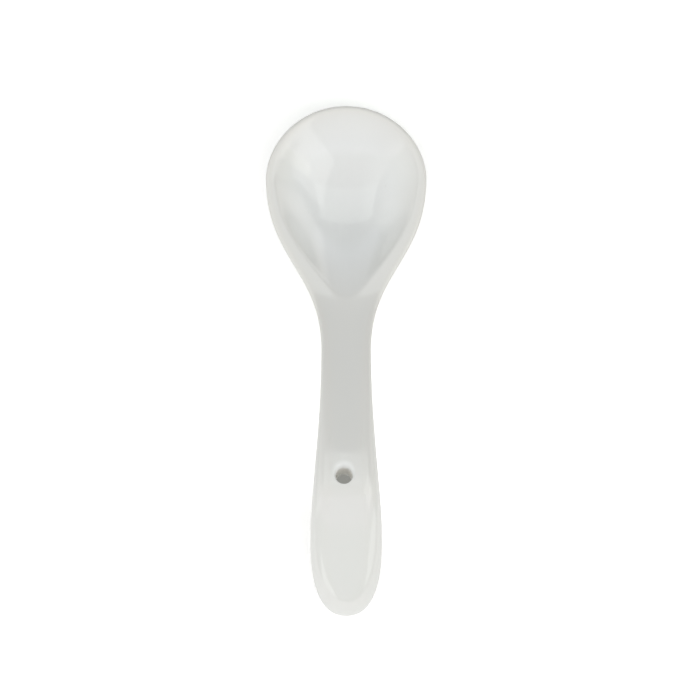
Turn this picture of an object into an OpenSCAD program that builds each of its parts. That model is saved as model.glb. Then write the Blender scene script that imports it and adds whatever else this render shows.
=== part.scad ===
// Porcelain soup spoon: a pear-shaped bowl, an arched handle with a hanging hole, and a glaze coat over both.
// Millimetres, +Z up. The spoon lies on the table, z = 0, on its foot and on the end of its handle.
// The origin is on the flat foot, below the deepest place of the bowl. The tip points to +Y.
// Places along the spoon are measured from the tip.

/* [Plan] */
// Length of the spoon, from the tip to the end of the handle
spoon_len = 140; // [130:1:150]
// Width of the bowl at its widest place
bowl_w = 44; // [40:0.5:48]
// Distance from the tip to the widest place of the bowl
bowl_reach = 20; // [18:0.5:23]
// Width of the neck at its narrowest place
neck_w = 13.6; // [12:0.1:16]
// Place of the neck, where the handle is joined to the bowl
neck_at = 67; // [63:0.5:71]
// Width of the handle at its widest place
grip_w = 19.5; // [17:0.1:22]
// Distance from the end of the handle to its widest place
grip_back = 23; // [19:0.5:28]

/* [Bowl] */
// Height above the table from which the handle rises
rim_h = 11.5; // [10:0.1:13]
// Height of the bowl's floor above the table
floor_h = 3; // [2.4:0.1:3.6]
// Place where the bowl's floor is deepest
floor_at = 28.2; // [26:0.1:31]
// Wall below the floor, before the foot is flattened
bowl_wall = 3.7; // [3.2:0.1:5]
// Width of the rim beside the widest place
rim_w = 1.9; // [1.4:0.1:2.5]
// Width of the rim at the tip
tip_rim_w = 0.9; // [0.7:0.1:1.5]
// Place where the floor, climbing to the handle, runs out at the neck
heel_at = 53; // [50:0.5:56]
// Width at which the bowl's trough runs out there
heel_trough_w = 23.2; // [20:0.2:27]
// Height over which the bowl's inside bends into the rim
rim_blend = 0.8; // [0.4:0.1:1.2]
// Height over which the bowl's inside bends into the neck
heel_blend = 0.3; // [0.2:0.05:0.8]

/* [Handle] */
// Thickness of the handle at its middle
handle_t = 7.6; // [6.6:0.1:8.5]
// Place where the handle starts to rise
rise_at = 52; // [48:0.5:56]
// Slope of the rising stretch, in degrees
rise_angle = 21; // [18:0.1:24]
// Slope of the stretch that comes down to the table, in degrees
fall_angle = 36.6; // [33:0.1:40]
// Height of the handle's top at its very end
end_h = 4.7; // [4.4:0.1:5]
// Height over which the handle's top bends into the rise
rise_blend = 2; // [1:0.1:3]
// Height over which the handle's top bends round its crest
crest_blend = 9; // [7:0.1:11]
// Height over which the bowl's underside bends into the handle's
throat_blend = 3; // [2:0.1:4]
// Distance from the end to the middle of the end's rounding
end_back = 9.5; // [8.5:0.1:10.5]
// Depth of the shallow groove along the neck
groove_d = 1.1; // [0.5:0.1:1.6]
// Place where the groove starts to run out
groove_end = 72; // [68:0.5:78]
// Rise of the rounded top of the handle's end, from its edges to its middle
dome_h = 1; // [0.5:0.1:1.8]
// Distance from the end to the place from which the handle's top is rounded
dome_back = 34; // [28:0.5:40]

/* [Edges] */
// Rounding of the rim's outer edge, seen from above
lip_round = 1.2; // [0.8:0.1:1.6]
// Rounding of the handle's edges, seen from above
grip_round = 4.5; // [3.5:0.1:5.5]
// Rounding of the bowl's edge below the rim, seen from below
under_round = 0.9; // [0.6:0.1:1.4]
// Height of the rim's top above the widest line of the bowl's edge
lip_drop = 1.1; // [0.8:0.1:1.5]
// Height of the handle's shoulder above the widest line of its edge
grip_drop = 2.6; // [2:0.1:3.2]
// Height of the bowl's widest line above the top of its outer wall
lip_belly = 0.5; // [0.3:0.1:0.8]
// Height of the handle's widest line above its underside at the edge
grip_belly = 2.2; // [1.8:0.1:2.6]
// Place up to which the edge is a thin lip
lip_until = 50; // [44:0.5:56]
// Distance from the end to the place from which the edge is as thick as the handle's
grip_edge_back = 28; // [22:0.5:36]

/* [Hanging hole] */
// Diameter of the hole
hole_d = 4.5; // [4:0.1:5]
// Distance from the end of the handle to the hole
hole_back = 38.1; // [37.5:0.1:41]
// Offset of the hole from the middle of the handle
hole_x = -0.6; // [-1.5:0.1:1.5]
// Lean of the hole from upright, its upper mouth towards the bowl, in degrees
hole_lean = 18; // [15:0.5:18.5]
// Rounding of the hole's two mouths
hole_flare = 2.6; // [2.4:0.1:2.7]
// How far the widest circle of the upper mouth stands off the handle, at the middle of the hole
hole_raise = 1.2; // [1.2:0.1:1.4]
// How far the widest circle of the lower mouth stands off the handle
hole_under_raise = 4.1; // [4:0.1:4.5]

/* [Glaze] */
// Thickness of the glaze coat
glaze_t = 0.25; // [0.15:0.05:0.4]

/* [Hidden] */

// How far the curves of the plan lean out from their ends, as shares of the stretch that they cross
tip_round_shares = [0.60, 0.47];
heel_curve_shares = [0.47, 0.46];
stem_curve_shares = [0.42, 0.21];
end_round_shares = [0.12, 1.13];
// How gently the floor bends from its deepest place into the climb, as a share of the climb
floor_bend_share = 0.35;
// Power of the taper of the bowl's trough towards the heel
trough_taper_power = 1.25;
// Powers of the underside's curve, from the middle to the edge
bowl_belly_power = 2.2;
handle_belly_power = 2.4;

// Ribs on one side of each stretch of the plan
tip_ribs = 14;
heel_ribs = 12;
stem_ribs = 12;
end_ribs = 11;
// Steps from the edge to the middle, and round the edge
sheet_steps = 9;
edge_steps = 4;

// Places on the handle, measured from the tip like the others
grip_at = spoon_len - grip_back;
dome_at = spoon_len - dome_back;
grip_from = spoon_len - grip_edge_back;
hole_at = spoon_len - hole_back;

half_bowl = bowl_w / 2;
half_neck = neck_w / 2;
half_grip = grip_w / 2;
bowl_depth = rim_h + groove_d - floor_h;
half_trough = half_bowl - rim_w;
hole_r = hole_d / 2;
// Steps round the hole's mouths, and sides of round shapes on screen
mouth_steps = 6;
round_sides = 48;
// How far cutting shapes stand past what they cut
overrun = 20;

function mix(a, b, t) = a * (1 - t) + b * t;
function clamp(v, low, high) = min(max(v, low), high);
function ease(t) = let (c = clamp(t, 0, 1)) c * c * (3 - 2 * c);
function soft_min(a, b, blend) = (a + b - sqrt((a - b) * (a - b) + blend * blend)) / 2;
function soft_max(a, b, blend) = (a + b + sqrt((a - b) * (a - b) + blend * blend)) / 2;
function bezier(p, t) =
    p[0] * pow(1 - t, 3) + p[1] * 3 * t * pow(1 - t, 2) + p[2] * 3 * t * t * (1 - t) + p[3] * pow(t, 3);
function bezier_run(p, t) =
    (p[1] - p[0]) * pow(1 - t, 2) + (p[2] - p[1]) * 2 * t * (1 - t) + (p[3] - p[2]) * t * t;

// Half of the plan as four curves of [place, half width]: the tip, the heel of the bowl, the stem and the end
heel_run = neck_at - bowl_reach;
stem_run = grip_at - neck_at;
end_run = spoon_len - grip_at;
tip_curve = [
    [0, 0],
    [0, half_bowl * tip_round_shares[0]],
    [bowl_reach - bowl_reach * tip_round_shares[1], half_bowl],
    [bowl_reach, half_bowl]
];
heel_curve = [
    [bowl_reach, half_bowl],
    [bowl_reach + heel_run * heel_curve_shares[0], half_bowl],
    [neck_at - heel_run * heel_curve_shares[1], half_neck],
    [neck_at, half_neck]
];
stem_curve = [
    [neck_at, half_neck],
    [neck_at + stem_run * stem_curve_shares[0], half_neck],
    [grip_at - stem_run * stem_curve_shares[1], half_grip],
    [grip_at, half_grip]
];
end_curve = [
    [grip_at, half_grip],
    [grip_at + end_run * end_round_shares[0], half_grip],
    [spoon_len, half_grip * end_round_shares[1]],
    [spoon_len, 0]
];

// A rib is [side, point of the plan, direction inwards], with both in [place, half width]
function rib(side, curve, t) =
    let (run = bezier_run(curve, t), ahead = run / norm(run)) [side, bezier(curve, t), [ahead[1], -ahead[0]]];
function ribs_down(side, curve, count, first) = [for (i = [first:count]) rib(side, curve, i / count)];
function backwards(list) = [for (i = [len(list) - 1:-1:0]) list[i]];

// From the right of the neck round the tip to the left of the neck, and from there round the end
bowl_ribs = concat(
    backwards(ribs_down(1, heel_curve, heel_ribs, 0)),
    backwards(ribs_down(1, tip_curve, tip_ribs, 0)),
    ribs_down(-1, tip_curve, tip_ribs, 1),
    ribs_down(-1, heel_curve, heel_ribs, 1)
);
handle_ribs = concat(
    ribs_down(-1, stem_curve, stem_ribs, 0),
    ribs_down(-1, end_curve, end_ribs, 1),
    backwards(ribs_down(1, end_curve, end_ribs, 0)),
    backwards(ribs_down(1, stem_curve, stem_ribs, 0))
);

// Height of the middle of the upper side, leaving out the bowl's inside
function ridge(s) =
    soft_min(
        soft_max(rim_h, rim_h + (s - rise_at) * tan(rise_angle), rise_blend),
        end_h + (spoon_len - s) * tan(fall_angle),
        crest_blend
    );
// Height of the edges above the ridge: up beside the groove, down beside the rounded end
function crown(s) = mix(groove_d, -dome_h, ease((s - groove_end) / (dome_at - groove_end)));
// A value that changes from the bowl's lip to the handle's edge
function lip_to_grip(s, lip, grip) = mix(lip, grip, ease((s - lip_until) / (grip_from - lip_until)));

// Height of the bowl's floor along its middle: a parabola at the tip and a bending climb to the neck
function bending(t) = sqrt(t * t + floor_bend_share * floor_bend_share) - floor_bend_share;
function climb(t) = bending(t) / bending(1);
function tip_share(s) = (floor_at - s) / (floor_at - tip_rim_w);
function floor_line(s) =
    floor_h + bowl_depth * (
        s < floor_at
            ? pow(tip_share(s), 2)
            : climb((s - floor_at) / (heel_at - floor_at))
    );
// Share of the way from the bowl's widest place to its heel
function heel_share(s) = pow(clamp((s - bowl_reach) / (heel_at - bowl_reach), 0, 1), trough_taper_power);
// How strongly the bowl's inside bends across. At the tip its edge is half an ellipse, and past the widest
// place it tapers to the heel.
function cross_bend(s) =
    let (
        half = mix(half_trough, heel_trough_w / 2, heel_share(s)),
        u = tip_share(s),
        v = (bowl_reach - s) / (bowl_reach - tip_rim_w)
    )
    s < bowl_reach
        ? (bowl_reach - tip_rim_w) / (floor_at - tip_rim_w) * (1 + u) / (1 + v) / pow(half, 2)
        : (s < floor_at ? 1 - u * u : 1) / pow(half, 2);
// Height of the bowl's inside: the floor line with a parabola across it
function trough(s, x) = floor_line(s) + bowl_depth * cross_bend(s) * x * x;
// How far the underside hangs below the ridge, along the middle
function hang(s) = ridge(s) - soft_min(floor_line(s) - bowl_wall, ridge(s) - handle_t, throat_blend);

// Height of the widest line of the edge, and of the underside where it meets the edge
function edge_line(s) = ridge(s) + crown(s) - lip_to_grip(s, lip_drop, grip_drop);
function belly_line(s) = edge_line(s) - lip_to_grip(s, lip_belly, grip_belly);

// Heights of the two sides at [place, half width], q being 0 at the middle and 1 at the edge
function upper_side(spot, q) =
    soft_min(
        ridge(spot[0]) + crown(spot[0]) * q * q,
        trough(spot[0], spot[1]),
        mix(rim_blend, heel_blend, heel_share(spot[0]))
    );
function under_side(spot, q, middle, edge) =
    let (
        power = lip_to_grip(edge, bowl_belly_power, handle_belly_power),
        from = hang(middle),
        to = ridge(edge) - belly_line(edge)
    ) ridge(spot[0]) - mix(from, to, pow(q, power));

// Loops run from the middle of the underside, round the edge, to the middle of the upper side.
// A loop is [is upper, angle round the edge, share of the way from the edge to the middle]
loops = concat(
    [for (j = [sheet_steps:-1:1]) [false, 90, j / sheet_steps]],
    [for (k = [edge_steps:-1:0]) [false, 90 * k / edge_steps, 0]],
    [for (k = [1:edge_steps]) [true, 90 * k / edge_steps, 0]],
    [for (j = [1:sheet_steps]) [true, 90, j / sheet_steps]]
);

// The point where a rib crosses a loop, on a surface that lies the thickness skin inside the spoon's own
function crossing(rib, loop, skin) =
    let (
        upper = loop[0],
        edge = rib[1],
        bend = lip_to_grip(edge[0], upper ? lip_round : under_round, grip_round),
        brink = edge + rib[2] * (skin + bend),
        middle = [clamp(brink[0], floor_at, spoon_len - end_back), 0],
        spot = mix(edge + rib[2] * (skin + bend * (1 - cos(loop[1]))), middle, loop[2]),
        q = norm(spot - middle) / norm(edge - middle),
        sheet = upper ? upper_side(spot, q) - skin : under_side(spot, q, middle[0], edge[0]) + skin
    ) [rib[0] * spot[1] + 0, floor_at - spot[0], mix(edge_line(edge[0]), sheet, sin(loop[1]))];

// A closed body over a run of ribs. An open run ends in one flat face at the neck.
module clay_body(ribs, skin, whole) {
    count = len(ribs);
    top = len(loops) - 1;
    points = [for (loop = loops) for (rib = ribs) crossing(rib, loop, skin)];
    last = whole ? count - 1 : count - 2;
    sides = [
        for (r = [0:top - 1], i = [0:last])
            let (a = r * count + i, b = r * count + (i + 1) % count)
            for (tri = [[a, b + count, b], [a, a + count, b + count]])
                if (points[tri[0]] != points[tri[1]] && points[tri[1]] != points[tri[2]]
                    && points[tri[2]] != points[tri[0]]) tri
    ];
    neck_face = concat([for (r = [0:top]) r * count + count - 1], [for (r = [top - 1:-1:1]) r * count]);
    polyhedron(points, whole ? sides : concat(sides, [neck_face]));
}

// The room above the table: what would reach below it is flat there
module above_table() {
    translate([-half_bowl - overrun, floor_at - spoon_len - overrun, 0])
        cube([bowl_w + overrun * 2, spoon_len + overrun * 2, rim_h + overrun * 2]);
}

// One mouth of the hole, opening upwards at z = 0, with its rounding set the thickness skin deeper
module hole_mouth(skin) {
    bend = [
        for (a = [0:90 / mouth_steps:90])
            [hole_r + hole_flare * (1 - cos(a)), (hole_flare - skin) * sin(a) - hole_flare]
    ];
    rotate_extrude($fn = round_sides)
        polygon(concat([[0, -hole_flare]], bend, [[hole_r + hole_flare, overrun], [0, overrun]]));
}

// The leaning hole, round a middle halfway through the handle, with its two rounded mouths
module hanging_hole(skin) {
    translate([hole_x, floor_at - hole_at, ridge(hole_at) - handle_t / 2])
        rotate([-hole_lean, 0, 0]) {
            cylinder(h = handle_t + hole_under_raise * 2, r = hole_r, center = true, $fn = round_sides);
            translate([0, 0, handle_t / 2 + hole_raise])
                hole_mouth(skin);
            rotate([180, 0, 0])
                translate([0, 0, handle_t / 2 + hole_under_raise])
                    hole_mouth(skin);
        }
}

module bowl() {
    color([0.90, 0.89, 0.86])
        intersection() {
            clay_body(bowl_ribs, glaze_t, false);
            above_table();
        }
}

module handle() {
    color([0.86, 0.85, 0.82])
        difference() {
            intersection() {
                clay_body(handle_ribs, glaze_t, false);
                above_table();
            }
            hanging_hole(glaze_t);
        }
}

module glaze_coat() {
    color([0.96, 0.97, 0.96])
        difference() {
            intersection() {
                clay_body(concat(bowl_ribs, [for (i = [1:len(handle_ribs) - 2]) handle_ribs[i]]), 0, true);
                above_table();
            }
            clay_body(bowl_ribs, glaze_t, false);
            clay_body(handle_ribs, glaze_t, false);
            hanging_hole(0);
        }
}

bowl();
handle();
glaze_coat();
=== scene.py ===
"""Dresses a porcelain soup spoon around its solid model: the glaze, the bare clay and a plain studio.

The glaze repeats the solid's own formulas on a fine grid. Shapes are worked out in millimetres, with s the
place along the spoon from its tip and x the offset across it, and go into the meshes in metres.
"""

import math

import bpy
import numpy as np
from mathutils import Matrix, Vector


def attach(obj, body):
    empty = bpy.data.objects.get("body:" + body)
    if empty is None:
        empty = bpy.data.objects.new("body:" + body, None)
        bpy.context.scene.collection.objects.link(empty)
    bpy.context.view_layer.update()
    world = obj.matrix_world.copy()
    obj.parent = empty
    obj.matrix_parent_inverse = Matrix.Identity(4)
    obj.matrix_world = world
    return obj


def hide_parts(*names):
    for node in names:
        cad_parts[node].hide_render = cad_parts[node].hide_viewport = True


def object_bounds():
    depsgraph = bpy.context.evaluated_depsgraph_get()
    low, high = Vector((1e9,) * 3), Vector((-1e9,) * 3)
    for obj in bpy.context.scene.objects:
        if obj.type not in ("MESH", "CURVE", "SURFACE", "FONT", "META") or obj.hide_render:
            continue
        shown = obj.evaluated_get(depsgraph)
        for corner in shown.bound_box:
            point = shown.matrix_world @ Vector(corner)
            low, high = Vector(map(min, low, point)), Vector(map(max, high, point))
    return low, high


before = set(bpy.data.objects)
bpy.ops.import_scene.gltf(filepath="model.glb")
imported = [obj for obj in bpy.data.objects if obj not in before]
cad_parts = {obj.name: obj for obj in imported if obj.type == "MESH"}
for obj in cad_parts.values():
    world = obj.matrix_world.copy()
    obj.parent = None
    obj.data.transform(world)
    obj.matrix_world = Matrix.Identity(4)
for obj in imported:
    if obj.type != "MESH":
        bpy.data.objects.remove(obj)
CAD_BOX = [list(corner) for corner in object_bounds()]

bl_info = {
    "name": "Porcelain soup spoon",
    "version": (1, 0, 0),
    "blender": (4, 5, 0),
    "location": "View3D > Sidebar > Spoon",
    "description": "Glazes a porcelain soup spoon, finishes its bare clay and sets up a plain studio",
    "category": "Object",
}

MM = 1000.0
BOX_MM = (np.array(CAD_BOX[1]) - np.array(CAD_BOX[0])) * MM
TIP_MM = CAD_BOX[1][1] * MM

# Ribs of the glaze's grid on one side of the tip, the heel, the stem and the end
RIBS = (64, 150, 110, 52)
# Loops of the grid round the edge, over the underside and over the upper side
EDGE_STEPS = 9
UNDER_STEPS = 26
UPPER_STEPS = 54
# Loops lie closer together towards the edge by this power
CROWDING = 1.8
# Rings of the grid round each mouth of the hole
MOUTH_STEPS = 12
# Ribs this near to the hole end on a ring round its mouth, and ribs within the next reach lean towards it
RING_REACH = 6.0
LEAN_REACH = 12.0
# How far from an edge and from the hole's wall the glaze is thin, and how thin it is on the handle
EDGE_THINNING = 0.9
MOUTH_THINNING = 0.5
HANDLE_THINNING = 0.35
# Faces that meet at more than this angle have a sharp edge between them
SHARP_ANGLE = math.radians(50)
# Points that agree to this many decimals of a millimetre are one point
WELD_PLACES = 5
# Where most values of a noise texture lie
NOISE_RANGE = (0.3, 0.7)
# A speck fades over this range of distances in its cell, and this share of the cells has none
SPECK_EDGE = (0.030, 0.055)
SPECKLESS = 0.72
# Roughness of the glaze and of the bare clay from their smoothest to their roughest places
GLAZE_ROUGHNESS = (0.02, 0.045)
CLAY_ROUGHNESS = (0.72, 0.9)
# How strongly the glaze bends and mirrors light
GLAZE_IOR = 1.55


def length(name, description, mm):
    """A length property, given in millimetres and kept in metres"""
    return bpy.props.FloatProperty(
        name=name, description=description, default=mm / MM, min=-1.0, max=1.0, precision=5,
        unit="LENGTH", subtype="DISTANCE",
    )


def slope(name, description, degrees):
    """An angle property, given in degrees and kept in radians"""
    return bpy.props.FloatProperty(
        name=name, description=description, default=math.radians(degrees), unit="ROTATION", subtype="ANGLE",
    )


def share(name, description, value, high=1.0):
    """A number without a unit"""
    return bpy.props.FloatProperty(
        name=name, description=description, default=value, min=0.0, max=high, subtype="FACTOR",
    )


def colour(name, description, rgb, high=1.0):
    """A colour property"""
    return bpy.props.FloatVectorProperty(
        name=name, description=description, default=rgb, size=3, min=0.0, max=high, subtype="COLOR",
    )


def curve_lean(name, description, shares):
    """How far a curve's two inner control points stand from its ends, as shares"""
    return bpy.props.FloatVectorProperty(name=name, description=description, default=shares, size=2)


def light(name, description, rgb):
    """The brightness of a soft light, in red, green and blue"""
    return colour(name, description, rgb, 10.0)


class SpoonSizes(bpy.types.PropertyGroup):
    """Sizes of the spoon, the same as the solid's"""

    spoon_len: length("Length", "From the tip to the end of the handle", BOX_MM[1])
    bowl_w: length("Bowl width", "Across the bowl at its widest place", BOX_MM[0])
    bowl_reach: length("Bowl reach", "From the tip to the widest place of the bowl", 20)
    neck_w: length("Neck width", "Across the neck at its narrowest place", 13.6)
    neck_at: length("Neck place", "From the tip to the neck", 67)
    grip_w: length("Handle width", "Across the handle at its widest place", 19.5)
    grip_back: length("Widest place of the handle", "From the end to the widest place of the handle", 23)
    rim_h: length("Rim height", "Height from which the handle rises", 11.5)
    floor_h: length("Floor height", "Height of the bowl's floor above the table", 3)
    floor_at: length("Deepest place", "From the tip to the deepest place of the bowl", TIP_MM)
    bowl_wall: length("Bowl wall", "Wall below the floor, before the foot is flattened", 3.7)
    rim_w: length("Rim width", "Width of the rim beside the widest place", 1.9)
    tip_rim_w: length("Tip rim width", "Width of the rim at the tip", 0.9)
    heel_at: length("Heel place", "From the tip to where the bowl's floor runs out at the neck", 53)
    heel_trough_w: length("Heel width", "Width at which the bowl's trough runs out there", 23.2)
    rim_blend: length("Rim bend", "Height over which the bowl's inside bends into the rim", 0.8)
    heel_blend: length("Heel bend", "Height over which the bowl's inside bends into the neck", 0.3)
    handle_t: length("Handle thickness", "Thickness of the handle at its middle", 7.6)
    rise_at: length("Rise place", "From the tip to where the handle starts to rise", 52)
    rise_angle: slope("Rise", "Slope of the rising stretch of the handle", 21)
    fall_angle: slope("Fall", "Slope of the stretch that comes down to the table", 36.6)
    end_h: length("End height", "Height of the handle's top at its very end", 4.7)
    rise_blend: length("Rise bend", "Height over which the top bends into the rise", 2)
    crest_blend: length("Crest bend", "Height over which the top bends round its crest", 9)
    throat_blend: length("Throat bend", "Height over which the bowl's underside bends into the handle's", 3)
    end_back: length("End rounding", "From the end to the middle of its rounding", 9.5)
    groove_d: length("Groove depth", "Depth of the shallow groove along the neck", 1.1)
    groove_end: length("Groove end", "From the tip to where the groove starts to run out", 72)
    dome_h: length("Dome height", "Rise of the rounded top of the handle's end", 1)
    dome_back: length("Dome place", "From the end to where the top is rounded", 34)
    lip_round: length("Lip rounding", "Rounding of the rim's outer edge", 1.2)
    grip_round: length("Handle rounding", "Rounding of the handle's edges", 4.5)
    under_round: length("Under rounding", "Rounding of the bowl's edge below the rim", 0.9)
    lip_drop: length("Lip drop", "Height of the rim's top above the widest line of its edge", 1.1)
    grip_drop: length("Shoulder drop", "Height of the handle's shoulder above its widest line", 2.6)
    lip_belly: length("Lip belly", "Height of the bowl's widest line above the top of its outer wall", 0.5)
    grip_belly: length("Handle belly", "Height of the handle's widest line above its underside", 2.2)
    lip_until: length("Lip end", "From the tip to where the edge stops being a thin lip", 50)
    grip_edge_back: length("Shoulder place", "From the end to where the edge is as thick as the handle's", 28)
    hole_d: length("Hole", "Diameter of the hanging hole", 4.5)
    hole_back: length("Hole place", "From the end to the hanging hole", 38.1)
    hole_x: length("Hole offset", "Offset of the hole from the middle of the handle", -0.6)
    hole_lean: slope("Hole lean", "Lean of the hole, its upper mouth towards the bowl", 18)
    hole_flare: length("Hole rounding", "Rounding of the hole's two mouths", 2.6)
    hole_raise: length("Upper mouth", "How far its widest circle stands off the handle", 1.2)
    hole_under_raise: length("Lower mouth", "How far its widest circle stands off the handle", 4.1)
    glaze_t: length("Glaze thickness", "Thickness of the glaze", 0.25)
    tip_round: curve_lean("Tip curve", "How far the tip's curve leans out from its ends", (0.60, 0.47))
    heel_curve: curve_lean("Heel curve", "How far the heel's curve leans out", (0.47, 0.46))
    stem_curve: curve_lean("Stem curve", "How far the stem's curve leans out", (0.42, 0.21))
    end_round: curve_lean("End curve", "How far the end's curve leans out", (0.12, 1.13))
    floor_bend: share("Floor bend", "How gently the floor bends into its climb", 0.35)
    taper_power: share("Taper power", "Power of the trough's taper towards the heel", 1.25, 4.0)
    bowl_belly_power: share("Bowl belly power", "Power of the bowl's underside across", 2.2, 4.0)
    handle_belly_power: share("Handle belly power", "Power of the handle's underside across", 2.4, 4.0)


class SpoonFinish(bpy.types.PropertyGroup):
    """Colours of the glaze, of the bare clay and of the studio"""

    glaze: colour("Glaze", "The glaze where it is even", (0.838, 0.846, 0.823))
    # Pooled glaze: partly its own cooler tint, partly painted light, lighter in the bowl and a painted
    # highlight in the hole's mouths
    glaze_pooled: colour("Pooled glaze", "The glaze where it pools, as in the bowl", (0.892, 0.914, 0.908))
    glaze_thin: colour("Thin glaze", "The glaze where it draws off the edges", (0.841, 0.838, 0.804))
    speck: colour("Specks", "Kiln specks under the glaze", (0.42, 0.38, 0.32))
    clay: colour("Bare clay", "Unglazed porcelain", (0.88, 0.88, 0.85))
    clay_scorched: colour("Scorched clay", "Unglazed porcelain at the edge of the glaze", (0.79, 0.75, 0.68))
    floor: colour("Floor", "The table that the spoon lies on", (0.80, 0.80, 0.80))
    floor_seen: colour("White floor", "The table as it shows in the picture", (1.5, 1.5, 1.5), 2.0)
    # Painted shadow on the table under the handle's arch
    floor_shade: colour("Shaded floor", "The table in the shade of the handle's arch", (0.38, 0.38, 0.36))


class SpoonStudio(bpy.types.PropertyGroup):
    """Brightness of the studio's soft lights"""

    surround: light("Surround", "Even light from all round", (0.0, 0.0, 0.0))
    ceiling: light("Ceiling", "The bright field overhead", (1.01, 1.05, 1.02))
    front_upper: light("Front, upper", "The upper part of the wall past the handle's end", (0.65, 0.60, 0.57))
    front_middle: light("Front, middle", "The middle part of that wall", (0.84, 0.78, 0.88))
    front_lower: light("Front, lower", "The lower part of that wall", (0.49, 0.57, 0.55))
    left_upper: light("Left, upper", "The upper part of the pale wall on the left", (0.51, 0.51, 0.49))
    left_lower: light("Left, lower", "The lower part of that wall", (1.33, 1.32, 1.27))
    softbox: light("Softbox", "The box of light in front on the right", (1.10, 1.10, 1.08))
    softbox_core: light("Softbox core", "The brighter middle of that box", (0.97, 0.97, 0.82))
    right_side: light("Right side", "A low light on the right", (0.76, 0.79, 0.65))
    right_back: light("Right back", "A low light at the back on the right", (1.20, 1.14, 1.08))
    back_wall: light("Back wall", "The dim wall past the tip", (0.59, 0.60, 0.68))
    right_strip: light("Right strip", "A low strip of light in front on the right", (1.2, 1.2, 1.2))
    left_strip: light("Left strip", "A low strip of light in front on the left", (1.3, 1.3, 1.3))


# Where the soft lights stand, in degrees: the turn from +X towards +Y, the tilt from straight up, half the
# width, half the height and the softness of the edges
LIGHTS = {
    "ceiling": (90, 5, 44, 21, 3),
    "front_upper": (270, 30, 45, 14, 6),
    "front_middle": (270, 54, 50, 12, 4),
    "front_lower": (270, 77, 60, 11, 4),
    "left_upper": (180, 45, 30, 15, 12),
    "left_lower": (185, 72, 35, 14, 12),
    "softbox": (328, 47, 23, 15, 2),
    "softbox_core": (333, 57, 6, 8, 2),
    "right_side": (345, 75, 15, 10, 5),
    "right_back": (25, 72, 20, 11, 5),
    "back_wall": (90, 60, 50, 13, 5),
    "right_strip": (306, 80, 16, 6, 2),
    "left_strip": (250, 84, 10, 5, 2),
}


def mix(a, b, t):
    """From a to b as t goes from 0 to 1, exact at both ends"""
    return a * (1 - t) + b * t


def ease(t):
    """0 to 1 with level ends: 3 t squared less 2 t cubed"""
    c = np.clip(t, 0, 1)
    return c * c * (3 - 2 * c)


def soft_min(a, b, blend):
    """The lower of two heights, rounded: half of a + b less the root of (a - b)^2 + blend^2"""
    return (a + b - np.sqrt((a - b) ** 2 + blend * blend)) / 2


def soft_max(a, b, blend):
    """The higher of two heights, rounded: half of a + b and the root of (a - b)^2 + blend^2"""
    return (a + b + np.sqrt((a - b) ** 2 + blend * blend)) / 2


def bezier(p, t):
    """Points of a cubic curve with the control points p"""
    t = t[:, None]
    return p[0] * (1 - t) ** 3 + p[1] * 3 * t * (1 - t) ** 2 + p[2] * 3 * t * t * (1 - t) + p[3] * t**3


def bezier_run(p, t):
    """Directions along that curve"""
    t = t[:, None]
    return (p[1] - p[0]) * (1 - t) ** 2 + (p[2] - p[1]) * 2 * t * (1 - t) + (p[3] - p[2]) * t * t


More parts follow.
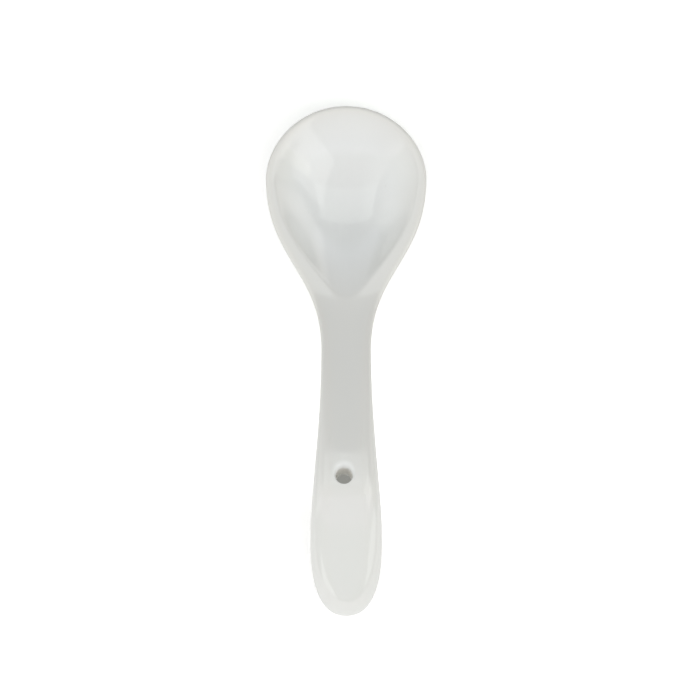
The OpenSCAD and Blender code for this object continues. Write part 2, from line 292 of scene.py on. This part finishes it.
class Form:
    """The spoon's surfaces, in millimetres, as functions of the place s and the offset x"""

    def __init__(self, sizes):
        for name in SpoonSizes.__annotations__:
            kind = sizes.bl_rna.properties[name]
            value = getattr(sizes, name)
            if kind.is_array:
                setattr(self, name, tuple(value))
            else:
                setattr(self, name, value * MM if kind.unit == "LENGTH" else value)
        self.grip_at = self.spoon_len - self.grip_back
        self.dome_at = self.spoon_len - self.dome_back
        self.grip_from = self.spoon_len - self.grip_edge_back
        self.hole_at = self.spoon_len - self.hole_back
        self.bowl_depth = self.rim_h + self.groove_d - self.floor_h
        self.half_trough = self.bowl_w / 2 - self.rim_w
        self.hole_r = self.hole_d / 2
        self.edge, self.inward = self.half_plan()
        self.sides = {upper: self.brinks(upper) for upper in (True, False)}

    def half_plan(self):
        """Points [s, half width] of the edge from the tip to the end, and the directions inwards.

        Four cubic curves, which meet where their tangents run along the spoon.
        """
        bowl, neck, grip = self.bowl_w / 2, self.neck_w / 2, self.grip_w / 2
        reach, narrow, wide, end = self.bowl_reach, self.neck_at, self.grip_at, self.spoon_len
        a, b = self.tip_round
        tip = [(0, 0), (0, bowl * a), (reach - reach * b, bowl), (reach, bowl)]
        a, b = self.heel_curve
        run = narrow - reach
        heel = [(reach, bowl), (reach + run * a, bowl), (narrow - run * b, neck), (narrow, neck)]
        a, b = self.stem_curve
        run = wide - narrow
        stem = [(narrow, neck), (narrow + run * a, neck), (wide - run * b, grip), (wide, grip)]
        a, b = self.end_round
        last = [(wide, grip), (wide + (end - wide) * a, grip), (end, grip * b), (end, 0)]
        points, runs = [], []
        for curve, count in zip((tip, heel, stem, last), RIBS):
            p = np.array(curve, float)
            t = np.arange(1 if points else 0, count + 1) / count
            points.append(bezier(p, t))
            runs.append(bezier_run(p, t))
        ahead = np.concatenate(runs)
        ahead /= np.linalg.norm(ahead, axis=1)[:, None]
        return np.concatenate(points), np.stack([ahead[:, 1], -ahead[:, 0]], 1)

    def ridge(self, s):
        """Height of the upper side's middle without the bowl's inside: level, then rising, then falling"""
        rise = self.rim_h + (s - self.rise_at) * math.tan(self.rise_angle)
        fall = self.end_h + (self.spoon_len - s) * math.tan(self.fall_angle)
        return soft_min(soft_max(self.rim_h, rise, self.rise_blend), fall, self.crest_blend)

    def crown(self, s):
        """Height of the edges above the ridge: up beside the groove, down beside the rounded end"""
        run = (s - self.groove_end) / (self.dome_at - self.groove_end)
        return mix(self.groove_d, -self.dome_h, ease(run))

    def lip_to_grip(self, s, lip, grip):
        """A value that eases from the bowl's lip to the handle's edge"""
        return mix(lip, grip, ease((s - self.lip_until) / (self.grip_from - self.lip_until)))

    def floor_line(self, s):
        """Height of the bowl's floor along the middle: a parabola at the tip, a bending climb to the neck"""
        bend = self.floor_bend
        t = np.maximum(s - self.floor_at, 0) / (self.heel_at - self.floor_at)
        climb = (np.sqrt(t * t + bend * bend) - bend) / (math.sqrt(1 + bend * bend) - bend)
        return self.floor_h + self.bowl_depth * np.where(s < self.floor_at, self.tip_share(s) ** 2, climb)

    def tip_share(self, s):
        """Share of the way from the deepest place to the rim at the tip"""
        return (self.floor_at - s) / (self.floor_at - self.tip_rim_w)

    def heel_share(self, s):
        """Share of the way from the widest place of the bowl to its heel"""
        return np.clip((s - self.bowl_reach) / (self.heel_at - self.bowl_reach), 0, 1) ** self.taper_power

    def cross_bend(self, s):
        """How strongly the bowl's inside bends across: an elliptical tip, then a taper to the heel"""
        half = mix(self.half_trough, self.heel_trough_w / 2, self.heel_share(s))
        u = self.tip_share(s)
        v = (self.bowl_reach - np.minimum(s, self.bowl_reach)) / (self.bowl_reach - self.tip_rim_w)
        front = (self.bowl_reach - self.tip_rim_w) / (self.floor_at - self.tip_rim_w) * (1 + u) / (1 + v)
        back = np.where(s < self.floor_at, 1 - u * u, 1.0)
        return np.where(s < self.bowl_reach, front, back) / half**2

    def hang(self, s):
        """How far the underside hangs below the ridge along the middle"""
        keel = soft_min(self.floor_line(s) - self.bowl_wall, self.ridge(s) - self.handle_t, self.throat_blend)
        return self.ridge(s) - keel

    def edge_line(self, s):
        """Height of the widest line of the edge"""
        return self.ridge(s) + self.crown(s) - self.lip_to_grip(s, self.lip_drop, self.grip_drop)

    def belly_line(self, s):
        """Height of the underside where it meets the edge"""
        return self.edge_line(s) - self.lip_to_grip(s, self.lip_belly, self.grip_belly)

    def upper_side(self, s, x, q):
        """Height of the upper side: the lower of the crowned ridge and the trough, q being 1 at the edge"""
        trough = self.floor_line(s) + self.bowl_depth * self.cross_bend(s) * x * x
        blend = mix(self.rim_blend, self.heel_blend, self.heel_share(s))
        return soft_min(self.ridge(s) + self.crown(s) * q * q, trough, blend)

    def under_side(self, s, q, middle, edge):
        """Height of the underside: the ridge less a depth that goes from hang to belly with a power of q"""
        power = self.lip_to_grip(edge, self.bowl_belly_power, self.handle_belly_power)
        return self.ridge(s) - mix(self.hang(middle), self.ridge(edge) - self.belly_line(edge), q**power)

    def brinks(self, upper):
        """For each rib: the rounding of its edge, the point where that ends, the middle that it runs to and the
        reach from the middle to the edge"""
        lip = self.lip_round if upper else self.under_round
        bend = self.lip_to_grip(self.edge[:, 0], lip, self.grip_round)
        brink = self.edge + self.inward * bend[:, None]
        middle = np.clip(brink[:, 0], self.floor_at, self.spoon_len - self.end_back)
        reach = np.hypot(self.edge[:, 0] - middle, self.edge[:, 1])
        return bend, brink, middle, reach

    def straight_height(self, s, x, upper):
        """Height of either side on the handle, where the ribs run straight across"""
        _, brink, _, reach = self.sides[upper]
        q = np.abs(x) / np.interp(s, brink[:, 0], reach)
        if upper:
            return self.upper_side(s, x, q)
        return self.under_side(s, q, s, np.interp(s, brink[:, 0], self.edge[:, 0]))


class Hole:
    """The leaning hole: its own frame has the axis up, r from the axis and phi 90 degrees to the bowl"""

    # Rounding where a mouth meets the handle, and the plain tube inside the clay that closes the glaze
    blend = 0.35
    tube_gap = 0.2
    # Where the grid's ring stands: off the bore on a mouth's narrow side, and off its rounding on the wide side
    narrow_gap = 0.6
    wide_gap = 0.35
    # Slope of a mouth past its widest circle
    past_slope = 2
    # Rounds of substitution that find where a line pierces a side
    rounds = 12

    def __init__(self, form):
        self.form = form
        self.sin, self.cos = math.sin(form.hole_lean), math.cos(form.hole_lean)
        self.z = float(form.ridge(form.hole_at)) - form.handle_t / 2

    def out(self, r, phi, h):
        """From the hole's frame to s, x and z"""
        across = r * np.sin(phi)
        s = self.form.hole_at - across * self.cos - h * self.sin
        return s, self.form.hole_x + r * np.cos(phi), self.z - across * self.sin + h * self.cos

    def into(self, s, x, z):
        """From s, x and z to r and the height along the axis"""
        y, up = self.form.hole_at - s, z - self.z
        return np.hypot(x - self.form.hole_x, y * self.cos - up * self.sin), y * self.sin + up * self.cos

    def mouth(self, r, upper):
        """Height of a mouth above or below the middle: a quarter circle that opens from the bore's radius"""
        form = self.form
        raised = form.hole_raise if upper else form.hole_under_raise
        out = np.maximum(r - form.hole_r, 0)
        turn = np.clip(1 - out / form.hole_flare, 0, 1)
        bend = form.hole_flare * (np.sqrt(1 - turn * turn) - 1)
        return form.handle_t / 2 + raised + bend + self.past_slope * np.maximum(out - form.hole_flare, 0)

    def rounded(self, r, h, upper):
        """Height along the axis of a side that is rounded into its mouth"""
        sign = 1 if upper else -1
        return sign * soft_min(sign * h, self.mouth(r, upper), self.blend)

    def rim_radius(self, phi, upper):
        """Where the grid round the hole meets the side's own: further out on the mouth's wide side"""
        form = self.form
        near, far = form.hole_r + self.narrow_gap, form.hole_r + form.hole_flare + self.wide_gap
        lean = np.sin(phi) if upper else -np.sin(phi)
        return near + (far - near) * ((1 + lean) / 2) ** 2

    def on_side(self, r, phi, upper):
        """Height along the axis at which a line beside it pierces a side, by repeated substitution"""
        h = np.full(np.broadcast(r, phi).shape, self.form.handle_t / 2 * (1 if upper else -1))
        for _ in range(self.rounds):
            s, x, _ = self.out(r, phi, h)
            z = self.form.straight_height(s, x, upper)
            h = (z - self.z + r * np.sin(phi) * self.sin) / self.cos
        return h


def glaze_grid(form, hole):
    """The glaze as one closed grid of ribs and loops, with a ring of its own through the hole.

    Ribs stand on the edge, down the right side and back up the left. On each side of the spoon a rib runs
    inwards, first round the edge by an angle a, its offset from the edge being bend (1 - cos a) and its height
    going from the edge's line to the side's with sin a, and then straight to the middle. Loops count from the
    middle of the underside over the edge to the middle of the upper side. Beside the hole, the ribs end on a
    ring round its mouth, and rings through the hole join the two. Where the clay stands bare on the table, the
    glaze steps up into it. The values give how far the glaze has pooled, which also lightens it as painted
    light in the bowl and as a painted highlight round the hole's mouths, and how far it has thinned.
    """
    count = len(form.edge)
    half = np.r_[0:count, count - 2 : 0 : -1]
    side = np.where(np.arange(len(half)) < count, 1.0, -1.0)
    near, far = np.searchsorted(form.edge[:, 0], [form.hole_at - RING_REACH, form.hole_at + RING_REACH])
    turn = np.clip((half - near) / (far - near), 0, 1) * math.pi
    phi = math.pi / 2 - side * turn
    beside = (half >= near) & (half <= far)
    edge, inward = form.edge[half], form.inward[half]
    sheets, pools_and_light, thins = {}, {}, {}
    for upper in (False, True):
        bend, brink, middle, reach = (part[half] for part in form.sides[upper])
        target_s, target_x = middle.copy(), np.zeros(len(half))
        rim = hole.rim_radius(phi, upper)
        ring_s, ring_x, _ = hole.out(rim, phi, hole.rounded(rim, hole.on_side(rim, phi, upper), upper))
        target_s[beside], target_x[beside] = ring_s[beside], ring_x[beside]
        # Before and after the hole, the ribs lean towards it and straighten out over some distance
        for stop, past in ((near, half < near), (far, half > far)):
            gap = np.abs(middle - brink[stop, 0])
            shift = ring_s[stop] - brink[stop, 0]
            fade = 1 - ease(gap / LEAN_REACH)
            bent = past & (gap < LEAN_REACH)
            target_s[bent] += (shift * fade)[bent]
            target_x[bent] += (form.hole_x * fade)[bent]
        bent = beside | (target_x != 0)
        steps = UPPER_STEPS if upper else UNDER_STEPS
        angle = np.r_[np.arange(EDGE_STEPS + 1) / EDGE_STEPS, np.ones(steps)][:, None] * math.pi / 2
        way = np.r_[np.zeros(EDGE_STEPS + 1), (np.arange(1, steps + 1) / steps) ** CROWDING][:, None]
        off = bend * (1 - np.cos(angle))
        s = mix(edge[:, 0] + inward[:, 0] * off, target_s, way)
        x = mix(side * (edge[:, 1] + inward[:, 1] * off), target_x, way)
        q = np.hypot(s - middle, x) / reach
        if upper:
            z = form.upper_side(s, np.abs(x), q)
        else:
            z = form.under_side(s, q, middle, edge[:, 0])
        flat = form.straight_height(s, x, upper)
        z = np.where(bent & (way > 0), flat, z)
        r, h = hole.into(s, x, z)
        move = np.where(bent & (way > 0), hole.rounded(r, h, upper) - h, 0.0)
        s, z = s - move * hole.sin, z + move * hole.cos
        height = mix(form.edge_line(edge[:, 0]), z, np.sin(angle))
        if not upper:
            clay_turn = np.clip(1 - (off - form.glaze_t) / bend, -1, 1)
            clay_angle = np.where(way > 0, math.pi / 2, np.arccos(clay_turn))
            clay = mix(form.edge_line(edge[:, 0]), z + form.glaze_t, np.sin(clay_angle))
            height = np.where(clay < 0, form.glaze_t / 2, np.maximum(height, 0))
        sheets[upper] = np.stack([x, form.floor_at - s, height], -1)
        # The depth sunk below the ridge sets the pooled glaze, which carries painted light in the bowl
        sunk = form.ridge(s) + form.crown(s) * q * q - height
        pools_and_light[upper] = np.clip(sunk / form.bowl_depth, 0, 1) * upper
        inside = np.hypot(s - brink[:, 0], x - side * brink[:, 1]) * (way > 0)
        thins[upper] = np.exp(-inside / EDGE_THINNING) * form.lip_to_grip(s, 1.0, HANDLE_THINNING)
    points = np.concatenate([sheets[False][::-1], sheets[True][1:]])
    pool = np.concatenate([pools_and_light[False][::-1], pools_and_light[True][1:]])
    thin = np.concatenate([thins[False][::-1], thins[True][1:]])

    loops, ribs = points.shape[:2]
    index = np.arange(loops * ribs).reshape(loops, ribs)
    after = np.roll(index, -1, 1)
    quads = np.stack([index[:-1], index[1:], after[1:], after[:-1]], -1).reshape(-1, 4)

    # Rings through the hole, from the upper side's ring of ribs to the underside's
    ring = np.r_[near : far + 1, ribs - np.arange(far - 1, near, -1)]
    turns = phi[ring]
    part = np.sin(np.arange(1, MOUTH_STEPS + 1) / MOUTH_STEPS * math.pi / 2)[:, None]
    rows, gathered_and_lit = [], []
    for upper in (True, False):
        rim = hole.rim_radius(turns, upper)
        r = mix(rim, form.hole_r, part)
        gathered_and_lit.append(np.broadcast_to((part if upper else part[::-1]) ** 2, r.shape))
        h = hole.rounded(r, hole.on_side(r, np.broadcast_to(turns, r.shape), upper), upper)
        rows.append((r, h) if upper else (r[::-1], h[::-1]))
    gap = hole.tube_gap
    tube_r = np.full((2, len(ring)), form.hole_r + gap)
    tube_h = np.stack([rows[0][1][-1] - gap, rows[1][1][0] + gap])
    r = np.concatenate([rows[0][0], tube_r, rows[1][0]])
    h = np.concatenate([rows[0][1], tube_h, rows[1][1]])
    s, x, z = hole.out(r, turns, h)
    through = np.stack([x, form.floor_at - s, z], -1)
    inner = np.arange(r.size).reshape(r.shape) + loops * ribs
    tube = np.concatenate([index[-1:, ring], inner, index[:1, ring]])
    after = np.roll(tube, -1, 1)
    quads = np.concatenate([quads, np.stack([tube[:-1], tube[1:], after[1:], after[:-1]], -1).reshape(-1, 4)])

    points = np.concatenate([points.reshape(-1, 3), through.reshape(-1, 3)])
    # Painted highlight: the lighter pooled glaze fills the hole's mouths and lights their rounded rims
    mouth_pool_and_highlight = np.concatenate([gathered_and_lit[0], np.ones(tube_r.shape), gathered_and_lit[1]])
    pool = np.concatenate([pool.ravel(), mouth_pool_and_highlight.ravel()])
    mouth_thin = HANDLE_THINNING * np.exp(-(r - form.hole_r) / MOUTH_THINNING)
    thin = np.concatenate([thin.ravel(), mouth_thin.ravel()])
    return points, quads, {"pool": pool, "thin": thin}


def welded(points, quads, values):
    """Points that coincide become one, and quads that this closes up become triangles or go"""
    places = np.round(points, WELD_PLACES) + 0.0
    _, first, to = np.unique(places, axis=0, return_index=True, return_inverse=True)
    quads = to.reshape(-1)[quads]
    same = quads == np.roll(quads, -1, 1)
    shut = same.sum(1)
    triangles = quads[shut == 1][~same[shut == 1]].reshape(-1, 3)
    return points[first], quads[shut == 0], triangles, {name: value[first] for name, value in values.items()}


def mesh_object(name, points, quads, triangles, values):
    """A smooth mesh object at the origin from arrays of points in millimetres and faces"""
    mesh = bpy.data.meshes.new(name)
    corners = np.concatenate([quads.ravel(), triangles.ravel()]).astype(np.int32)
    starts = np.concatenate([np.arange(len(quads)) * 4, len(quads) * 4 + np.arange(len(triangles)) * 3])
    mesh.vertices.add(len(points))
    mesh.vertices.foreach_set("co", (points / MM).astype(np.float32).ravel())
    mesh.loops.add(len(corners))
    mesh.loops.foreach_set("vertex_index", corners)
    mesh.polygons.add(len(starts))
    mesh.polygons.foreach_set("loop_start", starts.astype(np.int32))
    mesh.update(calc_edges=True)
    if mesh.validate():
        raise RuntimeError(f"the mesh of {name} has faults")
    for label, value in values.items():
        mesh.attributes.new(label, "FLOAT", "POINT").data.foreach_set("value", value.astype(np.float32))
    mesh.shade_smooth()
    mesh.set_sharp_from_angle(angle=SHARP_ANGLE)
    thing = bpy.data.objects.new(name, mesh)
    bpy.context.scene.collection.objects.link(thing)
    return thing


def node(tree, kind, **settings):
    """A shader node. Settings name its properties, or its inputs by socket name with spaces as underscores"""
    made = tree.nodes.new(kind)
    for name, value in settings.items():
        if hasattr(made, name):
            setattr(made, name, value)
        else:
            made.inputs[name.replace("_", " ")].default_value = value
    return made


def kiln_marks():
    """A node group with the kiln's marks on Object coordinates: sparse specks, soft clouds, a fine grain"""
    group = bpy.data.node_groups.new("kiln marks", "ShaderNodeTree")
    for label in ("Speck Scale", "Cloud Scale", "Grain Scale"):
        group.interface.new_socket(label, in_out="INPUT", socket_type="NodeSocketFloat")
    for label in ("Specks", "Clouds", "Grain"):
        group.interface.new_socket(label, in_out="OUTPUT", socket_type="NodeSocketFloat")
    link = group.links.new
    enter, leave = group.nodes.new("NodeGroupInput"), group.nodes.new("NodeGroupOutput")
    place = group.nodes.new("ShaderNodeTexCoord").outputs["Object"]
    cells = node(group, "ShaderNodeTexVoronoi", feature="F1")
    link(place, cells.inputs["Vector"])
    link(enter.outputs["Speck Scale"], cells.inputs["Scale"])
    near = ranged(group, cells.outputs["Distance"], *SPECK_EDGE, 1.0, 0.0)
    few = node(group, "ShaderNodeMath", operation="GREATER_THAN")
    few.inputs[1].default_value = SPECKLESS
    link(cells.outputs["Color"], few.inputs[0])
    both = node(group, "ShaderNodeMath", operation="MULTIPLY")
    link(near, both.inputs[0])
    link(few.outputs[0], both.inputs[1])
    link(both.outputs[0], leave.inputs["Specks"])
    for label, detail in (("Cloud", 3.0), ("Grain", 6.0)):
        noise = node(group, "ShaderNodeTexNoise", Detail=detail, Roughness=0.55)
        link(place, noise.inputs["Vector"])
        link(enter.outputs[label + " Scale"], noise.inputs["Scale"])
        link(noise.outputs["Fac"], leave.inputs["Clouds" if label == "Cloud" else "Grain"])
    return group


def new_material(name):
    """An empty node material with its output and Principled shader"""
    material = bpy.data.materials.new(name)
    material.use_nodes = True
    tree = material.node_tree
    tree.nodes.clear()
    shader = tree.nodes.new("ShaderNodeBsdfPrincipled")
    tree.links.new(shader.outputs[0], tree.nodes.new("ShaderNodeOutputMaterial").inputs["Surface"])
    return material, tree, shader


def blended(tree, factor, a, b, **settings):
    """A colour mix, where a and b are colours or sockets and the factor is a socket"""
    made = node(tree, "ShaderNodeMix", data_type="RGBA", **settings)
    tree.links.new(factor, made.inputs[0])
    for slot, value in ((6, a), (7, b)):
        if isinstance(value, bpy.types.NodeSocket):
            tree.links.new(value, made.inputs[slot])
        else:
            made.inputs[slot].default_value = (*value, 1.0)
    return made.outputs[2]


def ranged(tree, value, low, high, out_low, out_high):
    """A value mapped from one range to another, held at its ends"""
    made = node(tree, "ShaderNodeMapRange", From_Min=low, From_Max=high, To_Min=out_low, To_Max=out_high)
    tree.links.new(value, made.inputs["Value"])
    return made.outputs["Result"]


def kiln_node(tree, marks, specks, clouds, grain):
    """The kiln marks in a material, with their scales: how many fit in a metre"""
    return node(
        tree, "ShaderNodeGroup", node_tree=marks, Speck_Scale=specks, Cloud_Scale=clouds, Grain_Scale=grain)


def glaze_material(finish, marks):
    """Clear glossy glaze on white porcelain: thin and warm on the edges, pooled, cool and lighter in the bowl;
    the lighter pooled colour is partly painted light in the bowl and a painted highlight round the hole's
    mouths
    """
    material, tree, shader = new_material("porcelain glaze")
    link = tree.links.new
    kiln = kiln_node(tree, marks, 150.0, 38.0, 900.0)
    pool = node(tree, "ShaderNodeAttribute", attribute_name="pool").outputs["Fac"]
    thin = node(tree, "ShaderNodeAttribute", attribute_name="thin").outputs["Fac"]
    # Pooled glaze: its tint, and painted light that lightens the bowl and the hole's mouths
    tone = blended(tree, ranged(tree, pool, 0.05, 0.5, 0.0, 1.0), finish.glaze, finish.glaze_pooled)
    tone = blended(tree, ranged(tree, thin, 0.0, 1.0, 0.0, 0.9), tone, finish.glaze_thin)
    shade = ranged(tree, kiln.outputs["Clouds"], *NOISE_RANGE, 0.0, 0.10)
    tone = blended(tree, shade, tone, finish.glaze_thin)
    tone = blended(tree, ranged(tree, kiln.outputs["Specks"], 0.0, 1.0, 0.0, 0.12), tone, finish.speck)
    link(tone, shader.inputs["Base Color"])
    rough = ranged(tree, kiln.outputs["Clouds"], *NOISE_RANGE, *GLAZE_ROUGHNESS)
    link(rough, shader.inputs["Roughness"])
    shader.inputs["IOR"].default_value = GLAZE_IOR
    waves = node(tree, "ShaderNodeBump", Strength=0.5, Distance=0.00004)
    link(kiln.outputs["Clouds"], waves.inputs["Height"])
    link(waves.outputs["Normal"], shader.inputs["Normal"])
    return material


def clay_material(finish, marks):
    """Unglazed porcelain: matt and grainy, toasted where the glaze ends"""
    material, tree, shader = new_material("bare porcelain")
    link = tree.links.new
    kiln = kiln_node(tree, marks, 420.0, 160.0, 2600.0)
    scorch = ranged(tree, kiln.outputs["Clouds"], 0.3, 0.75, 0.0, 0.45)
    tone = blended(tree, scorch, finish.clay, finish.clay_scorched)
    tone = blended(tree, ranged(tree, kiln.outputs["Specks"], 0.0, 1.0, 0.0, 0.5), tone, finish.speck)
    link(tone, shader.inputs["Base Color"])
    rough = ranged(tree, kiln.outputs["Grain"], *NOISE_RANGE, *CLAY_ROUGHNESS)
    link(rough, shader.inputs["Roughness"])
    grain = node(tree, "ShaderNodeBump", Strength=0.4, Distance=0.00003)
    link(kiln.outputs["Grain"], grain.inputs["Height"])
    link(grain.outputs["Normal"], shader.inputs["Normal"])
    return material


def marks_group():
    """The kiln marks, built once"""
    return bpy.data.node_groups.get("kiln marks") or kiln_marks()


class SPOON_OT_glaze(bpy.types.Operator):
    """Lay the glaze over the whole spoon, from the tip of the bowl to the end of the handle"""

    bl_idname = "spoon.glaze"
    bl_label = "Glaze"

    def execute(self, context):
        form = Form(context.scene.spoon_sizes)
        coat = mesh_object("glaze", *welded(*glaze_grid(form, Hole(form))))
        coat.data.materials.append(glaze_material(context.scene.spoon_finish, marks_group()))
        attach(coat, "root")
        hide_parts("glaze_coat")
        return {"FINISHED"}


class SPOON_OT_clay(bpy.types.Operator):
    """Finish the porcelain of the bowl and the handle, which stays bare where it stands and in the hole"""

    bl_idname = "spoon.clay"
    bl_label = "Bare clay"

    def execute(self, context):
        material = clay_material(context.scene.spoon_finish, marks_group())
        for name in ("bowl", "handle"):
            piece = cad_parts[name]
            piece.data.materials.clear()
            piece.data.materials.append(material)
        return {"FINISHED"}


class SPOON_OT_stage(bpy.types.Operator):
    """Set the floor, the lights, the studio's walls and the camera straight above the spoon"""

    bl_idname = "spoon.stage"
    bl_label = "Stage"

    def execute(self, context):
        scene = context.scene
        scene.view_settings.view_transform = "Standard"
        floor_piece(scene.spoon_finish)
        studio_world(scene)
        camera_above(scene)
        return {"FINISHED"}


def floor_piece(finish):
    """A level sheet under the spoon, which shows white with the spoon's shadow and a painted shadow under the
    handle's arch
    """
    half, low = 3.0, -0.00005
    corners = [(-half, -half, low), (half, -half, low), (half, half, low), (-half, half, low)]
    mesh = bpy.data.meshes.new("floor")
    mesh.from_pydata(corners, [], [(0, 1, 2, 3)])
    floor = bpy.data.objects.new("floor", mesh)
    bpy.context.scene.collection.objects.link(floor)
    material = bpy.data.materials.new("floor")
    material.use_nodes = True
    tree = material.node_tree
    tree.nodes.clear()
    sheet = tree.nodes.new("ShaderNodeBsdfDiffuse")
    # Painted shadow: under the handle's arch the table shows the shaded-floor colour to camera and gloss rays
    shown = blended(tree, arch_shade(tree), finish.floor_seen, finish.floor_shade)
    tree.links.new(blended(tree, seen_directly(tree), finish.floor, shown), sheet.inputs["Color"])
    tree.links.new(sheet.outputs[0], tree.nodes.new("ShaderNodeOutputMaterial").inputs["Surface"])
    mesh.materials.append(material)


def arch_shade(tree):
    """Mask of a painted shadow: 1 on the table below the middle of the handle's arch, 0 outside a slim ellipse
    round that
    """
    centre, half, soft = (0.0, -0.070, 0.0), (0.0076, 0.034, 1.0), 0.45
    place = tree.nodes.new("ShaderNodeTexCoord").outputs["Object"]
    for operation, values in (("SUBTRACT", centre), ("DIVIDE", half)):
        made = node(tree, "ShaderNodeVectorMath", operation=operation)
        tree.links.new(place, made.inputs[0])
        made.inputs[1].default_value = values
        place = made.outputs[0]
    inside = node(tree, "ShaderNodeTexGradient", gradient_type="SPHERICAL")
    tree.links.new(place, inside.inputs["Vector"])
    return ranged(tree, inside.outputs["Fac"], 0.0, soft, 0.0, 1.0)


def seen_directly(tree):
    """1 for rays from the camera, from gloss and through glass, 0 for light on its way to a surface"""
    path = tree.nodes.new("ShaderNodeLightPath")
    total = path.outputs["Is Camera Ray"]
    for label in ("Is Glossy Ray", "Is Transmission Ray"):
        higher = node(tree, "ShaderNodeMath", operation="MAXIMUM")
        tree.links.new(total, higher.inputs[0])
        tree.links.new(path.outputs[label], higher.inputs[1])
        total = higher.outputs[0]
    return total


def soft_light():
    """A node group for one soft light: 1 for directions inside a rectangle of the sky, with soft edges.

    The offsets of a direction D from the light's middle are (D . Across) / (D . Middle) and
    (D . Along) / (D . Middle), the tangents of angles. The mask goes from 1 to 0 over the softness on both
    sides of half the width and half the height.
    """
    group = bpy.data.node_groups.new("soft light", "ShaderNodeTree")
    for label in ("Middle", "Across", "Along"):
        group.interface.new_socket(label, in_out="INPUT", socket_type="NodeSocketVector")
    for label in ("Half Width", "Half Height", "Softness"):
        group.interface.new_socket(label, in_out="INPUT", socket_type="NodeSocketFloat")
    group.interface.new_socket("Mask", in_out="OUTPUT", socket_type="NodeSocketFloat")
    enter, leave = group.nodes.new("NodeGroupInput"), group.nodes.new("NodeGroupOutput")
    direction = group.nodes.new("ShaderNodeTexCoord").outputs["Generated"]

    def sums(operation, a, b):
        made = node(group, "ShaderNodeMath", operation=operation)
        for slot, value in enumerate((a, b)):
            if isinstance(value, bpy.types.NodeSocket):
                group.links.new(value, made.inputs[slot])
            elif value is not None:
                made.inputs[slot].default_value = value
        return made.outputs[0]

    def along(label):
        made = node(group, "ShaderNodeVectorMath", operation="DOT_PRODUCT")
        group.links.new(direction, made.inputs[0])
        group.links.new(enter.outputs[label], made.inputs[1])
        return made.outputs["Value"]

    ahead = along("Middle")
    mask = sums("GREATER_THAN", ahead, 0.01)
    for label, half in (("Across", "Half Width"), ("Along", "Half Height")):
        off = sums("ABSOLUTE", sums("DIVIDE", along(label), ahead), None)
        room = sums("DIVIDE", sums("SUBTRACT", enter.outputs[half], off), enter.outputs["Softness"])
        edge = node(group, "ShaderNodeMapRange", interpolation_type="SMOOTHSTEP", From_Min=-1.0, From_Max=1.0)
        group.links.new(room, edge.inputs["Value"])
        mask = sums("MULTIPLY", mask, edge.outputs["Result"])
    group.links.new(mask, leave.inputs["Mask"])
    return group


def studio_world(scene):
    """A dim surround with soft lights in it, white where the camera sees it"""
    world = bpy.data.worlds.new("studio")
    scene.world = world
    world.use_nodes = True
    tree = world.node_tree
    group = soft_light()
    total = scene.spoon_studio.surround
    for name, (turn, tilt, half_width, half_height, softness) in LIGHTS.items():
        turn, tilt = math.radians(turn), math.radians(tilt)
        out = np.array([math.cos(turn), math.sin(turn), 0.0])
        up = np.array([0.0, 0.0, 1.0])
        shape = node(
            tree, "ShaderNodeGroup", node_tree=group,
            Middle=tuple(out * math.sin(tilt) + up * math.cos(tilt)),
            Across=(-out[1], out[0], 0.0),
            Along=tuple(up * math.sin(tilt) - out * math.cos(tilt)),
            Half_Width=math.tan(math.radians(half_width)),
            Half_Height=math.tan(math.radians(half_height)),
            Softness=math.tan(math.radians(softness)),
        )
        glow = getattr(scene.spoon_studio, name)
        total = blended(tree, shape.outputs["Mask"], total, glow, blend_type="ADD", name=name)
    seen = tree.nodes.new("ShaderNodeLightPath").outputs["Is Camera Ray"]
    tree.links.new(blended(tree, seen, total, (1.0, 1.0, 1.0)), tree.nodes["Background"].inputs["Color"])


def camera_above(scene):
    """A long lens straight above, with the tip of the spoon up in the picture"""
    across, centre, height, far = 0.1917, (0.00104, -0.0386), 0.011, 2.5
    data = bpy.data.cameras.new("camera")
    data.sensor_width = 36.0
    data.lens = data.sensor_width * (far - height) / across
    data.clip_end = 20.0
    camera = bpy.data.objects.new("camera", data)
    camera.location = (*centre, far)
    scene.collection.objects.link(camera)
    scene.camera = camera


class SPOON_PT_panel(bpy.types.Panel):
    """Buttons and sizes of the spoon"""

    bl_idname = "SPOON_PT_panel"
    bl_label = "Porcelain soup spoon"
    bl_space_type = "VIEW_3D"
    bl_region_type = "UI"
    bl_category = "Spoon"

    def draw(self, context):
        layout = self.layout
        for operator in (SPOON_OT_glaze, SPOON_OT_clay, SPOON_OT_stage):
            layout.operator(operator.bl_idname)
        for title, group in (
            ("Sizes", context.scene.spoon_sizes),
            ("Finish", context.scene.spoon_finish),
            ("Studio", context.scene.spoon_studio),
        ):
            layout.label(text=title)
            for name in type(group).__annotations__:
                layout.prop(group, name)


CLASSES = (
    SpoonSizes, SpoonFinish, SpoonStudio,
    SPOON_OT_glaze, SPOON_OT_clay, SPOON_OT_stage, SPOON_PT_panel,
)


def register():
    for made in CLASSES:
        bpy.utils.register_class(made)
    bpy.types.Scene.spoon_sizes = bpy.props.PointerProperty(type=SpoonSizes)
    bpy.types.Scene.spoon_finish = bpy.props.PointerProperty(type=SpoonFinish)
    bpy.types.Scene.spoon_studio = bpy.props.PointerProperty(type=SpoonStudio)


def unregister():
    del bpy.types.Scene.spoon_studio
    del bpy.types.Scene.spoon_finish
    del bpy.types.Scene.spoon_sizes
    for made in reversed(CLASSES):
        bpy.utils.unregister_class(made)


def main():
    register()
    bpy.ops.spoon.glaze()
    bpy.ops.spoon.clay()
    bpy.ops.spoon.stage()


if __name__ == "__main__":
    main()
